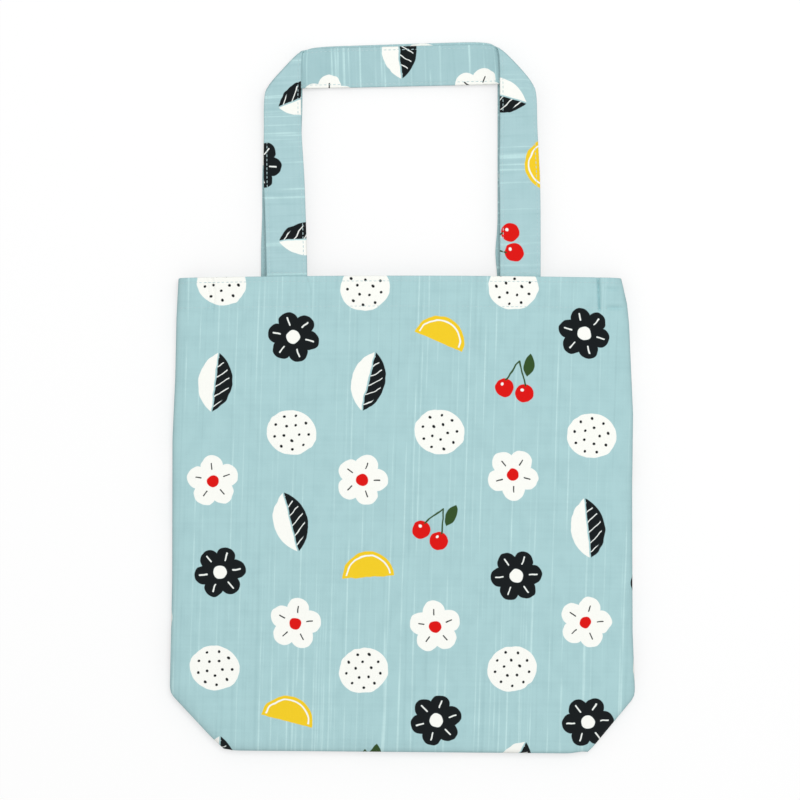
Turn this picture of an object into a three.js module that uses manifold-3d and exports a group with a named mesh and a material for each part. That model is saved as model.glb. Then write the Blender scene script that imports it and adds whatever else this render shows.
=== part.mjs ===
// A soft cotton lunch bag lying flat on its back, with two carrying straps folded to a mitre at the corners.
// Millimetres. X runs across the bag, Y from the bottom seam towards the handles, Z up from the surface.

import * as THREE from 'three';
import { mergeVertices } from 'three/addons/utils/BufferGeometryUtils.js';
import loadManifold from 'manifold-3d';

// Bag body, as it lies flat
const BODY_HEIGHT = 310;
const MOUTH_WIDTH = 290;
const FULL_WIDTH = 301;
const CORNER_RISE = 37;
const CORNER_INSET = 33;
const CROWN_MARGIN = 22;

// Cloth, hem and seams
const CLOTH = 0.9;
const HEM_DEPTH = 21;
const SEAM_ALLOWANCE = 15;
const SEAM_THICKNESS = 1.2;
const SEAM_INSET = 0.5;

// Straps
const STRAP_WIDTH = 26.5;
const STRAP_THICKNESS = 1.8;
const STRAP_SPACING = 152;
const HANDLE_RISE = 152;
const MITRE_SETBACK = 5;
const TAB_LENGTH = 19;
const BACK_HANDLE_SHIFT = 2;

// Topstitching along the hem
const THREAD_WIDTH = 0.7;
const THREAD_THICKNESS = 0.3;
const THREAD_CLEARANCE = 0.2;
const TOP_ROW_FROM_EDGE = 2.6;
const LOWER_ROW_FROM_HEM_EDGE = 2.0;

// Clear space between layers that touch in the real bag
const GAP = 0.3;

// Facets of the curved forms
const CROWN_STEPS = 6;
const FOLD_STEPS = 8;

// Depths below the outer face of a panel, one layer after the other, down to the middle of the bag
const FACING_DEPTH = CLOTH + GAP;
const LEG_DEPTH = FACING_DEPTH + CLOTH + GAP;
const SPAN_DEPTH = LEG_DEPTH + STRAP_THICKNESS + GAP;
const HALF_THICKNESS = SPAN_DEPTH + STRAP_THICKNESS + GAP / 2;

// Places that follow from the sizes above
const HANDLE_TOP = BODY_HEIGHT + HANDLE_RISE;
const HINGE_HEIGHT = HALF_THICKNESS - (FACING_DEPTH + CLOTH) / 2;
const LEG_OUTER = (STRAP_SPACING + STRAP_WIDTH) / 2;
const LEG_INNER = (STRAP_SPACING - STRAP_WIDTH) / 2;
const BEYOND = CROWN_MARGIN * 3;

const COTTON_BLUE = 0xacd1d4;
const STRAP_BLUE = 0xb1d1d5;
const SEAM_BLUE = 0xbcd9db;
const THREAD_BLUE = 0xc4dfe0;

const wasm = await loadManifold();
wasm.setup();

// A closed geometry as a solid that can be joined and cut
function solidOf(geometry) {
  geometry.deleteAttribute('normal');
  geometry.deleteAttribute('uv');
  const merged = mergeVertices(geometry, 1e-4);
  const vertProperties = new Float32Array(merged.attributes.position.array);
  const triVerts = new Uint32Array(merged.index.array);
  return new wasm.Manifold(new wasm.Mesh({ numProp: 3, vertProperties, triVerts }));
}

function geometryOf(solid) {
  const mesh = solid.getMesh();
  const geometry = new THREE.BufferGeometry();
  geometry.setAttribute('position', new THREE.BufferAttribute(mesh.vertProperties, 3));
  geometry.setIndex(new THREE.BufferAttribute(mesh.triVerts, 1));
  geometry.computeVertexNormals();
  return geometry;
}

function pieceOf(name, solid, color) {
  const material = new THREE.MeshStandardMaterial({ color, roughness: 0.95, metalness: 0 });
  const mesh = new THREE.Mesh(geometryOf(solid), material);
  mesh.name = name;
  return mesh;
}

function box(low, high) {
  const size = new THREE.Vector3().subVectors(high, low);
  const middle = new THREE.Vector3().addVectors(low, high).multiplyScalar(0.5);
  const geometry = new THREE.BoxGeometry(size.x, size.y, size.z);
  return solidOf(geometry.translate(middle.x, middle.y, middle.z));
}

function plate(points, zLow, thickness) {
  const geometry = new THREE.ExtrudeGeometry(new THREE.Shape(points), { depth: thickness, bevelEnabled: false });
  return solidOf(geometry.translate(0, 0, zLow));
}

// The point where a line meets another, each given by a point and a direction
function meeting(p, along, q, across) {
  const reach = new THREE.Vector2().subVectors(q, p).cross(across) / along.cross(across);
  return p.clone().addScaledVector(along, reach);
}

// A convex outline drawn in by the same distance on every edge
function drawnIn(points, distance) {
  const edges = points.map((point, i) => {
    const along = new THREE.Vector2().subVectors(points[(i + 1) % points.length], point).normalize();
    const inward = new THREE.Vector2(-along.y, along.x);
    return { along, start: point.clone().addScaledVector(inward, distance) };
  });
  return edges.map((edge, i) => {
    const before = edges[(i + edges.length - 1) % edges.length];
    return meeting(before.start, before.along, edge.start, edge.along);
  });
}

// The bag's outline up to a height; the sides keep their taper above the mouth
function bagOutline(top) {
  const full = FULL_WIDTH / 2;
  const taper = (full - MOUTH_WIDTH / 2) / (BODY_HEIGHT - CORNER_RISE);
  const topHalf = full - taper * (top - CORNER_RISE);
  return [
    new THREE.Vector2(-full + CORNER_INSET, 0),
    new THREE.Vector2(full - CORNER_INSET, 0),
    new THREE.Vector2(full, CORNER_RISE),
    new THREE.Vector2(topHalf, top),
    new THREE.Vector2(-topHalf, top),
    new THREE.Vector2(-full, CORNER_RISE),
  ];
}

// The lying bag's crowned form, flat in the middle and curving down to the seams, drawn in by a depth
function crownedForm(depth) {
  const flatPart = drawnIn(bagOutline(BODY_HEIGHT + BEYOND), CROWN_MARGIN);
  const geometry = new THREE.ExtrudeGeometry(new THREE.Shape(flatPart), {
    depth: GAP,
    bevelThickness: HALF_THICKNESS - GAP / 2 - depth,
    bevelSize: CROWN_MARGIN - depth,
    bevelSegments: CROWN_STEPS,
  });
  return solidOf(geometry.translate(0, 0, -GAP / 2));
}

// The part of the crowned form between two depths, over a stretch of height, above a level
function crownedLayer(outerDepth, innerDepth, yLow, yHigh, zLow) {
  const stretch = box(
    new THREE.Vector3(-FULL_WIDTH, yLow, zLow),
    new THREE.Vector3(FULL_WIDTH, yHigh, HALF_THICKNESS * 2),
  );
  return crownedForm(outerDepth).subtract(crownedForm(innerDepth)).intersect(stretch);
}

const HEM_EDGE = BODY_HEIGHT - HEM_DEPTH;
const STITCH_ROWS = {
  hem_top_stitch: BODY_HEIGHT - TOP_ROW_FROM_EDGE,
  hem_lower_stitch: HEM_EDGE + LOWER_ROW_FROM_HEM_EDGE,
};
const ABOVE_SEAMS = SEAM_THICKNESS / 2 + GAP;

// One cut panel with a shallow groove where each row of topstitching pulls the cloth down
function panel() {
  let cloth = crownedLayer(0, CLOTH, -BEYOND, BODY_HEIGHT, GAP / 2);
  const grooveHalf = THREAD_WIDTH / 2 + THREAD_CLEARANCE;
  const grooveDepth = THREAD_THICKNESS + THREAD_CLEARANCE;
  for (const row of Object.values(STITCH_ROWS)) {
    cloth = cloth.subtract(crownedLayer(-CLOTH, grooveDepth, row - grooveHalf, row + grooveHalf, ABOVE_SEAMS));
  }
  return cloth;
}

// The panel's top edge turned to the inside
function hemFacing() {
  return crownedLayer(FACING_DEPTH, FACING_DEPTH + CLOTH, HEM_EDGE, BODY_HEIGHT, ABOVE_SEAMS);
}

function stitchRow(height) {
  const half = THREAD_WIDTH / 2;
  const clearOfGrooveEnd = ABOVE_SEAMS + THREAD_CLEARANCE;
  return crownedLayer(0, THREAD_THICKNESS, height - half, height + half, clearOfGrooveEnd);
}

// The sewn end of a strap inside the hem
function tab(x) {
  const low = new THREE.Vector3(x - STRAP_WIDTH / 2, BODY_HEIGHT - TAB_LENGTH, 0);
  const high = new THREE.Vector3(x + STRAP_WIDTH / 2, BODY_HEIGHT - GAP, 0);
  high.z = HALF_THICKNESS - LEG_DEPTH;
  low.z = high.z - STRAP_THICKNESS;
  return box(low, high);
}

// The strap's half-round turn along a mitre line, joining the leg's layer to the span's; it bulges to the left
// of the way from start to end
function mitreFold(start, end) {
  const radius = STRAP_THICKNESS + GAP / 2;
  const section = new THREE.Shape();
  section.absarc(0, 0, radius, -Math.PI / 2, Math.PI / 2);
  section.closePath();
  const along = new THREE.Vector3(end.x - start.x, end.y - start.y, 0);
  const geometry = new THREE.ExtrudeGeometry(section, {
    depth: along.length(),
    bevelEnabled: false,
    curveSegments: FOLD_STEPS,
  });
  along.normalize();
  const up = new THREE.Vector3(0, 0, 1);
  const outward = new THREE.Vector3().crossVectors(up, along);
  geometry.applyMatrix4(new THREE.Matrix4().makeBasis(outward, up, along));
  const middle = HALF_THICKNESS - SPAN_DEPTH + GAP / 2;
  return solidOf(geometry.translate(start.x, start.y, middle));
}

// A strap leg rising from the hem to its mitre, on the left (side -1) or the right (side 1)
function leg(side) {
  const mitreLow = new THREE.Vector2(side * LEG_OUTER, HANDLE_TOP - STRAP_WIDTH - MITRE_SETBACK);
  const mitreHigh = new THREE.Vector2(side * (LEG_INNER - MITRE_SETBACK), HANDLE_TOP);
  const points = [
    new THREE.Vector2(side * LEG_OUTER, BODY_HEIGHT),
    new THREE.Vector2(side * LEG_INNER, BODY_HEIGHT),
    new THREE.Vector2(side * LEG_INNER, HANDLE_TOP - MITRE_SETBACK),
    mitreLow,
  ];
  const straight = plate(points, HALF_THICKNESS - LEG_DEPTH - STRAP_THICKNESS, STRAP_THICKNESS);
  const fold = side < 0 ? mitreFold(mitreLow, mitreHigh) : mitreFold(mitreHigh, mitreLow);
  return straight.add(fold);
}

// The whole strap above the hem: two legs, and a span that passes behind them
function strapLoop() {
  const span = plate([
    new THREE.Vector2(-LEG_OUTER + MITRE_SETBACK, HANDLE_TOP - STRAP_WIDTH),
    new THREE.Vector2(LEG_OUTER - MITRE_SETBACK, HANDLE_TOP - STRAP_WIDTH),
    new THREE.Vector2(LEG_INNER - MITRE_SETBACK, HANDLE_TOP),
    new THREE.Vector2(-LEG_INNER + MITRE_SETBACK, HANDLE_TOP),
  ], HALF_THICKNESS - SPAN_DEPTH - STRAP_THICKNESS, STRAP_THICKNESS);
  const trimmed = box(
    new THREE.Vector3(-LEG_OUTER, BODY_HEIGHT, 0),
    new THREE.Vector3(LEG_OUTER, HANDLE_TOP, HALF_THICKNESS),
  );
  return span.add(leg(-1)).add(leg(1)).intersect(trimmed);
}

// The strap loop, drooping from the hem until it comes to rest on the surface under the bag
function handle(face, downward) {
  const droop = Math.asin((LEG_DEPTH - GAP) / HANDLE_RISE);
  const strap = pieceOf(`${face}_handle_strap`, strapLoop(), STRAP_BLUE);
  strap.position.set(0, -BODY_HEIGHT, -HINGE_HEIGHT);
  const hinge = new THREE.Group();
  hinge.position.set(0, BODY_HEIGHT, HINGE_HEIGHT);
  hinge.rotation.x = downward * droop;
  hinge.add(strap);
  return hinge;
}

// Everything on one face of the bag, with its outer face up; the surface under the bag is below the front face
// (downward -1) and above the back one (downward 1), which is made face up and turned over
function bagFace(face, downward, handleShift) {
  const group = new THREE.Group();
  group.add(pieceOf(`${face}_panel`, panel(), COTTON_BLUE));
  group.add(pieceOf(`${face}_hem_facing`, hemFacing(), SEAM_BLUE));
  for (const [row, height] of Object.entries(STITCH_ROWS)) {
    group.add(pieceOf(`${face}_${row}`, stitchRow(height), THREAD_BLUE));
  }
  const sewn = new THREE.Group();
  sewn.add(pieceOf(`${face}_left_tab`, tab(downward * STRAP_SPACING / 2), STRAP_BLUE));
  sewn.add(pieceOf(`${face}_right_tab`, tab(-downward * STRAP_SPACING / 2), STRAP_BLUE));
  sewn.add(handle(face, downward));
  sewn.position.x = handleShift;
  group.add(sewn);
  return group;
}

// The seam allowances inside the bag, one along each closed edge, mitred where they meet
function seamAllowances() {
  const outer = drawnIn(bagOutline(BODY_HEIGHT), CLOTH + SEAM_INSET);
  const inner = drawnIn(bagOutline(BODY_HEIGHT), CLOTH + SEAM_INSET + SEAM_ALLOWANCE);
  const names = {
    bottom_seam: 0,
    right_corner_seam: 1,
    right_side_seam: 2,
    left_side_seam: 4,
    left_corner_seam: 5,
  };
  const group = new THREE.Group();
  for (const [name, edge] of Object.entries(names)) {
    const next = (edge + 1) % outer.length;
    const along = new THREE.Vector2().subVectors(outer[next], outer[edge]).normalize();
    const points = [
      outer[edge].clone().addScaledVector(along, GAP),
      outer[next].clone().addScaledVector(along, -GAP),
      inner[next].clone().addScaledVector(along, -GAP),
      inner[edge].clone().addScaledVector(along, GAP),
    ];
    const strip = plate(points, -SEAM_THICKNESS / 2, SEAM_THICKNESS);
    group.add(pieceOf(name, strip, SEAM_BLUE));
  }
  return group;
}

// The two faces lie mouth to mouth: the back one is the front one turned over
const front = bagFace('front', -1, 0);
const back = bagFace('back', 1, BACK_HANDLE_SHIFT);
back.rotation.y = Math.PI;

const bag = new THREE.Group();
bag.add(front, back, seamAllowances());
bag.position.set(0, -HANDLE_TOP / 2, HALF_THICKNESS);

const part = new THREE.Group();
part.add(bag);

export default part;
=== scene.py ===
"""A soft cotton lunch bag lying flat on its back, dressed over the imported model.

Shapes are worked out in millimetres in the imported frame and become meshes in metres.
"""

import math

import bmesh
import bpy
import numpy as np
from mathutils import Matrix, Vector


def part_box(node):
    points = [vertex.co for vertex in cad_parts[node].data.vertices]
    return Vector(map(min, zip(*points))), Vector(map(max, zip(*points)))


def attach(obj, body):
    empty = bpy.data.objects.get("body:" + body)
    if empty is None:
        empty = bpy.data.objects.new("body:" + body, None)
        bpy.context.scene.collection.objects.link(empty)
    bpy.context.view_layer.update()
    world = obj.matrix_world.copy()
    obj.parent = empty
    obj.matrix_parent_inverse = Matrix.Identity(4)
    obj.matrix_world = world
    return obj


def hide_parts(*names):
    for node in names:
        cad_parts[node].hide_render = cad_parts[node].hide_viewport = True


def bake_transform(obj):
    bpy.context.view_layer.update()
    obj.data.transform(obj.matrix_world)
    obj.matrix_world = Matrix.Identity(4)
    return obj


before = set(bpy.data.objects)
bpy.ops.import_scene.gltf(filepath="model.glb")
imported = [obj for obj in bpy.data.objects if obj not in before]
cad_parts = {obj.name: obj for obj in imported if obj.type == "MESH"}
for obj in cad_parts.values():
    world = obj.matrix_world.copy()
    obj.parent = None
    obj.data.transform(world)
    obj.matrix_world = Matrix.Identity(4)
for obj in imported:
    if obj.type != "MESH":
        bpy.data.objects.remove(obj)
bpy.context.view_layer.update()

MM = 0.001
ROOT_TWO = math.sqrt(2)

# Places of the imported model
PANEL_LOW, PANEL_HIGH = (np.array(corner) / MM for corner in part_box("front_panel"))
STRAP_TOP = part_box("front_handle_strap")[1][1] / MM
TAB_LOW, TAB_HIGH = (np.array(corner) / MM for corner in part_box("front_left_tab"))
BOTTOM_Y = PANEL_LOW[1]
MOUTH_Y = PANEL_HIGH[1]
BODY_HEIGHT = MOUTH_Y - BOTTOM_Y
TOP_Z = PANEL_HIGH[2]
MID_Z = TOP_Z / 2

# The lying outline, as X and height above the bottom seam, from each corner's cut up to the mouth
LEFT_SIDE = (
    (-115.9, 0), (-149.4, 36.1), (-150.4, 38.8), (-150.7, 42),
    (-149.2, 110), (-149, 205), (-147.2, 245), (-146.4, 285), (-145.1, 310),
)
RIGHT_SIDE = (
    (120.6, 0), (149.9, 36), (151, 38.8), (151.2, 42),
    (149.7, 80), (149.4, 170), (150, 222), (147.4, 281), (146.1, 294), (142.4, 310),
)
CORNER_AT = 118
CORNER_LIFT = 1.3
CORNER_REACH = 6
HALF_WIDTH = 150
MOUTH_BOW = 1.6
MOUTH_DROP = 1.0
BOTTOM_LIFT = 0.4
BOTTOM_TILT = 1.3
BACK_INSET = 0.4

# Cloth of the two faces
CLOTH = 0.6
CROWN_MARGIN = 22
CROWN_POWER = 3.0
SEAM_RISE = 0.7
SEAM_LIP = ((2.5, 0.34), (0.6, 0.34), (0.15, 0.42))
GRID = 2.6
CROWN_STEPS = 9

# Hem: the cloth turns inside at the mouth and is topstitched in two rows
HEM_DEPTH = 21
HEM_GRID = 0.9
HEM_TURN = 0.5
HEM_STEP = 0.35
TURN_STEPS = 7
MARK_REACH = 3.3
MARK_COLUMNS = 12
TOP_ROW = BODY_HEIGHT - 2.6
LOWER_ROW = BODY_HEIGHT - HEM_DEPTH + 2.0
ROW_DIP = 0.22
ROW_WIDTH = 0.9
ROW_END = 3
TAB_RISE = 0.25
SEAM_RIDGE = 0.3

# Marks in the hem, as X and height: the fold beside the left strap's end, and a furrow near each side seam
TAB_FOLD = ((-59.2, 284), (-59.4, 301), (-62.0, 310))
LEFT_FURROW = ((-123.3, 284), (-121.9, 300), (-123.4, 310))
RIGHT_FURROW = ((128.1, 288), (127.3, 310))
LEFT_FURROW_GAP = 3.4

# Ripples across each mark, as height, place beside the mark and width
HEM_MARKS = (
    (LEFT_FURROW, ((-1.1, 0, 1.0), (-0.7, -LEFT_FURROW_GAP, 0.9))),
    (RIGHT_FURROW, ((-2.2, 0, 1.0), (0.3, 3.3, 1.3))),
    (TAB_FOLD, ((0.3, 1.3, 0.8), (-0.4, 0, 0.8))),
)

# Dents across the right seam's end, as height and depth, beyond the furrow
RIGHT_TUCK = BODY_HEIGHT - 6.7
RIGHT_DENTS = ((RIGHT_TUCK, 1.5), (LOWER_ROW, 2.2))
DENT_WIDTH = 1.5
DENT_START = (3, 7)

# Unevenness of the cloth
FRONT_SEED = 11
BACK_SEED = 47
UNDULATION = 0.45
UNDULATION_WAVES = (9, 60, 150)
PUCKER = 0.16
PUCKER_REACH = 6
PUCKER_LENGTH = 12
PUCKER_WANDER = (5, 30, 70)
SEAM_CALM = 6

# Seam allowances inside
SEAM_ALLOWANCE = 15
SEAM_INSET = 1.4
SEAM_HALF = 0.5
SEAM_TAPER = -0.04
SEAM_WAVE = 0.25
SEAM_WAVE_LENGTH = 9.0
OVERLOCK_INSET = 1.6

# Where pieces pass from one body to the next, in metres: the front by its X, a strap past the mouth
HELD_AT = 0.142
FREE_AT = 0.096

# Straps
STRAP_WIDTH = TAB_HIGH[0] - TAB_LOW[0]
STRAP_SPACING = -(TAB_HIGH[0] + TAB_LOW[0])
STRAP_HALF = (TAB_HIGH[2] - TAB_LOW[2]) / 2
LEG_Z = (TAB_HIGH[2] + TAB_LOW[2]) / 2 - MID_Z
TAB_LENGTH = MOUTH_Y - TAB_LOW[1]
HANDLE_RISE = STRAP_TOP - MOUTH_Y
DROOP = 2.1 / HANDLE_RISE
SPAN_SAG = 2.2
FOLD_RADIUS = 1.05
HALF_TURN = math.pi * FOLD_RADIUS / 2
FOLD_OUT = FOLD_RADIUS + STRAP_HALF - HALF_TURN
FRONT_MITRE_DRAW = (0.4, 1.6)
BACK_MITRE_DRAW = (1.8, 2.2)
MITRE_REACH = 4.8
MITRE_ROUNDING = 1.8
ROUNDING_REACH = 5
MITRE_LOFT = 2.6
LEG_PINCH = 0.085
MITRE_AT = HANDLE_RISE - STRAP_WIDTH / 2
FOLD_LENGTH = 2 * HALF_TURN * ROOT_TWO
SECOND_MITRE_AT = MITRE_AT + STRAP_SPACING
STRAP_LENGTH = SECOND_MITRE_AT + MITRE_AT
MITRE_X = (STRAP_SPACING + STRAP_WIDTH) / 2
MITRE_Y = HANDLE_RISE - STRAP_WIDTH
SLANT_REACH = 42
EDGE_ROW = STRAP_WIDTH / 2 - 2.2
FOOT_ROW = 1.8
ROW_DRAW = 0.2
COLUMN_INSETS = (1.5, 2.1, 2.5, 2.9, 3.6, 5.5, 8.2, 11.0)

# How the handles lie: each span's drop at its left and right, its sway, and the heights of pinch and loft
LEG_PLACES = (-76, 76)
FRONT_DROP = (4.3, 0.5)
BACK_DROP = (3.1, -1.6)
SWAY = 0.2
SWAY_LENGTHS = (31, 23)
SWAY_HEIGHTS = (0, 60)
PINCH_HEIGHTS = (60, 105)
LOFT_HEIGHTS = (90, 125)
SAG_INSIDE = 54

# How far each leg lies aside: at its foot, then each change with the heights between which it comes
FRONT_LEFT_LEAN = (1.2, ((-2.9, -10, 115),))
FRONT_RIGHT_LEAN = (0.8, ((-1.1, 35, 110),))
BACK_LEFT_LEAN = (-2.6, ((0.75, 15, 45), (0.75, 88, 115)))
BACK_RIGHT_LEAN = (-0.4, ((-1.1, 60, 105),))
BACK_RIGHT_BOW = 1.4
BACK_RIGHT_BOW_AT = 15
BACK_RIGHT_BOW_REACH = 12

# Stitches
STITCH_LENGTH = 2.3
STITCH_PITCH = 2.9
THREAD_HALF_WIDTH = 0.24
THREAD_HALF_HEIGHT = 0.17
STITCH_ARCH = 0.14
STITCH_SINK = 0.08

# Slubs and other unevenness of the yarns, as sizes across and along the warp, which slants a little
WARP_SLANT = 0.029
SLUB_SIZE = (1.7, 400)
BREAK_SIZE = (2.4, 42)
YARN_SIZE = (0.8, 30)
WEFT_SIZE = (70, 1.8)
MOTTLE_SIZE = (9, 14)
FIBRE_SIZE = 0.35
WEAVE_PITCH = (0.52, 0.56)

# Where the noise of the slubs turns light and dark, where slubs break off, and where fibres show
LIGHT_FROM = (0.66, 0.84)
DARK_FROM = (0.44, 0.18)
BREAK_FROM = (0.32, 0.58)
FIBRE_FROM = (0.45, 0.75)

# How far each kind of unevenness shows in the cloth's colour, and the print on its reverse
YARN_SHARE = 0.12
DARK_SHARE = 0.3
FIBRE_SHARE = 0.28
MOTTLE_SHARE = 0.6
WEFT_SHARE = 0.22
REVERSE_PRINT = 0.16

# Print: loose rows of garden motifs, every other column dropped by half a row
COLUMN_PITCH = 48
ROW_PITCH = 63
SCATTER = 6
TILT = 0.9
MOTIF_SCALE = 1.16
PRINT_SOFTNESS = 0.16

# Where each piece was cut from the printed cloth, across and along the warp
FRONT_CUT = (6 * COLUMN_PITCH, 3 * ROW_PITCH + 10)
BACK_CUT = (10.5 * COLUMN_PITCH, 0)
FRONT_STRAP_CUT = (0, 9 * ROW_PITCH + 18)
BACK_STRAP_CUT = (13 * COLUMN_PITCH - 11, 4 * ROW_PITCH + 2.5)

# Frame of the picture, from the photograph's 800 by 800 pixels
MM_PER_PIXEL = 0.6508
PIXEL_OF_X_ZERO = 402
PIXEL_OF_BOTTOM = 752
PICTURE_PIXELS = 800
CAMERA_DISTANCE = 2000

# Light, in shares that add up to one on a face that looks straight up; places of lamp and floor are in metres
SKY_SHARE = 0.62
LAMP_SHARE = 0.39
LAMP_AT = (0.28, 0.46, 2.3)
LAMP_RADIUS = 0.6
FLOOR_GREY = 0.45
FLOOR_REACH = 4.0
FLOOR_Z = -0.0002


def srgb(red, green, blue):
    """A colour of 0 to 255 as the linear colour that shaders take."""
    levels = (level / 255 for level in (red, green, blue))
    linear = (s / 12.92 if s <= 0.04045 else ((s + 0.055) / 1.055) ** 2.4 for s in levels)
    return (*linear, 1.0)


GROUND = srgb(175, 212, 215)
SLUB_LIGHT = srgb(197, 231, 232)
SLUB_DARK = srgb(157, 194, 198)
STRAP_GROUND = srgb(176, 210, 214)
# The strap's underside, which shows on the span behind the legs: the strap's own cloth, darker as painted
# shade
STRAP_SHADED_UNDER = srgb(170, 205, 209)
REVERSE = srgb(192, 219, 221)
WHITE = srgb(253, 254, 248)
BLACK = srgb(20, 25, 27)
RED = srgb(224, 20, 16)
YELLOW = srgb(246, 208, 40)
GREEN = srgb(54, 82, 42)
THREAD = srgb(190, 216, 219)


# Shader arithmetic
class Number:
    """A number in a shader tree; arithmetic on it adds Math nodes."""

    def __init__(self, tree, socket):
        self.tree = tree
        self.socket = socket

    def apply(self, operation, *others, clamp=False):
        node = self.tree.nodes.new("ShaderNodeMath")
        node.operation = operation
        node.use_clamp = clamp
        for slot, value in zip(node.inputs, (self, *others)):
            if isinstance(value, Number):
                self.tree.links.new(value.socket, slot)
            else:
                slot.default_value = value
        return Number(self.tree, node.outputs[0])

    def __add__(self, other):
        return self.apply("ADD", other)

    def __sub__(self, other):
        return self.apply("SUBTRACT", other)

    def __mul__(self, other):
        return self.apply("MULTIPLY", other)

    def __truediv__(self, other):
        return self.apply("DIVIDE", other)

    def __neg__(self):
        return self.apply("MULTIPLY", -1.0)

    def __abs__(self):
        return self.apply("ABSOLUTE")

    def floor(self):
        return self.apply("FLOOR")

    def sine(self):
        return self.apply("SINE")

    def cosine(self):
        return self.apply("COSINE")

    def wrapped(self, length):
        return self.apply("FLOORED_MODULO", length)

    def least(self, other):
        return self.apply("MINIMUM", other)

    def most(self, other):
        return self.apply("MAXIMUM", other)

    def is_near(self, value):
        return self.apply("COMPARE", value, 0.25)

    def opposite(self):
        return (-self) + 1.0

    def ramp(self, low, high):
        """0 at low and below, 1 at high and above."""
        return ((self - low) / (high - low)).apply("ADD", 0.0, clamp=True)


def long(x, y):
    return (x * x + y * y).apply("SQRT")


def inside(gap):
    """1 where a signed distance to an outline is below zero, with a soft edge."""
    return gap.apply("MULTIPLY_ADD", -0.5 / PRINT_SOFTNESS, 0.5, clamp=True)


def noise(tree, x, y, detail):
    """A noise texture's value at a place in its own units."""
    place = tree.nodes.new("ShaderNodeCombineXYZ")
    tree.links.new(x.socket, place.inputs[0])
    tree.links.new(y.socket, place.inputs[1])
    node = tree.nodes.new("ShaderNodeTexNoise")
    node.noise_dimensions = "2D"
    node.inputs["Scale"].default_value = 1.0
    node.inputs["Detail"].default_value = detail
    tree.links.new(place.outputs[0], node.inputs["Vector"])
    return Number(tree, node.outputs[0])


def chances(tree, x, y):
    """Three numbers from 0 to 1 that a cell of the print keeps to itself."""
    place = tree.nodes.new("ShaderNodeCombineXYZ")
    tree.links.new(x.socket, place.inputs[0])
    tree.links.new(y.socket, place.inputs[1])
    node = tree.nodes.new("ShaderNodeTexWhiteNoise")
    node.noise_dimensions = "2D"
    tree.links.new(place.outputs[0], node.inputs["Vector"])
    parts = tree.nodes.new("ShaderNodeSeparateColor")
    tree.links.new(node.outputs["Color"], parts.inputs[0])
    return [Number(tree, socket) for socket in parts.outputs]


def painted(tree, below, cover, colour):
    """A colour over another one, as far as cover says."""
    mix = tree.nodes.new("ShaderNodeMix")
    mix.data_type = "RGBA"
    tree.links.new(cover.socket, mix.inputs[0])
    if isinstance(below, tuple):
        mix.inputs[6].default_value = below
    else:
        tree.links.new(below, mix.inputs[6])
    mix.inputs[7].default_value = colour
    return mix.outputs[2]


def cloth_places(tree):
    """Where a point lies on its flat cloth: across the warp and along it, in millimetres."""
    attribute = tree.nodes.new("ShaderNodeAttribute")
    attribute.attribute_name = "cloth_at"
    parts = tree.nodes.new("ShaderNodeSeparateXYZ")
    tree.links.new(attribute.outputs["Vector"], parts.inputs[0])
    return Number(tree, parts.outputs[0]) * 1000.0, Number(tree, parts.outputs[1]) * 1000.0


def new_material(name):
    material = bpy.data.materials.new(name)
    material.use_nodes = True
    return material, material.node_tree, material.node_tree.nodes["Principled BSDF"]


def add_bump(tree, shader, height, depth):
    """Bump of a depth in millimetres for a height from 0 to 1."""
    bump = tree.nodes.new("ShaderNodeBump")
    bump.inputs["Distance"].default_value = depth * MM
    tree.links.new(height.socket, bump.inputs["Height"])
    tree.links.new(bump.outputs[0], shader.inputs["Normal"])


# Motifs of the print, each as distances in millimetres from its own middle
def petals(x, y, count, reach, size):
    """Distance to a ring of round petals, and the place within the nearest one."""
    sector = 2 * math.pi / count
    angle = y.apply("ARCTAN2", x)
    folded = (angle + sector / 2).wrapped(sector) - sector / 2
    radius = long(x, y)
    out = radius * folded.cosine()
    aside = radius * folded.sine()
    return long(out - reach, aside) - size, out, aside


def dot_ring(x, y, count, reach, size):
    gap, _, _ = petals(x, y, count, reach, size)
    return gap


def lens(x, y, half_length, half_width):
    """Distance to a pointed leaf that stands upright."""
    offset = (half_length ** 2 - half_width ** 2) / (2 * half_width)
    return long(abs(x) + offset, y) - (offset + half_width)


def stroke(x, y, start, end, width):
    """Distance to a straight stroke with round ends."""
    run = (end[0] - start[0], end[1] - start[1])
    square = run[0] ** 2 + run[1] ** 2
    dx = x - start[0]
    dy = y - start[1]
    share = ((dx * run[0] + dy * run[1]) / square).apply("ADD", 0.0, clamp=True)
    return long(dx - share * run[0], dy - share * run[1]) - width / 2


def white_blossom(x, y):
    gap, out, aside = petals(x, y, 5, 8.3, 6.3)
    body = inside(gap.least(long(x, y) - 8.0))
    vein = inside(stroke(out, aside, (6.6, 0), (9.8, 0), 0.7))
    return {"white": body, "black": vein, "red": inside(long(x, y) - 3.4)}


def half_leaf(x, y):
    gap = lens(x, y, 17.0, 9.6)
    leaf = inside(gap.most((-abs(x)) + 0.4))
    light = inside(x)
    slanted = (y - abs(x) * 0.8).wrapped(5.6) - 2.8
    veins = inside((abs(slanted) - 0.35).most(gap + 1.8).most((-abs(x)) + 0.4))
    shade = light.opposite()
    return {"white": (leaf * light).most(veins * shade), "black": leaf * shade * veins.opposite()}


def seed_pod(x, y):
    body = inside(long(x, y * 1.12) - 14.0)
    seeds = inside(dot_ring(x, y, 5, 4.6, 0.8).least(dot_ring(y, x, 9, 9.6, 0.8)))
    return {"white": body, "black": seeds}


def black_blossom(x, y):
    gap, out, aside = petals(x, y, 6, 9.0, 5.5)
    body = inside(gap.least(long(x, y) - 9.0))
    heart = inside((long(x, y) - 3.8).least(stroke(out, aside, (7.4, 0), (11.4, 0), 0.8)))
    return {"white": heart, "black": body * heart.opposite()}


def yellow_slice(x, y):
    radius = long(x, y + 4.0)
    body = inside((radius - 14.5).most((-y) - 4.0))
    rind = inside((abs(radius - 12.2) - 0.45).most((-y) - 2.6))
    return {"yellow": body * rind.opposite(), "white": rind}


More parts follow.
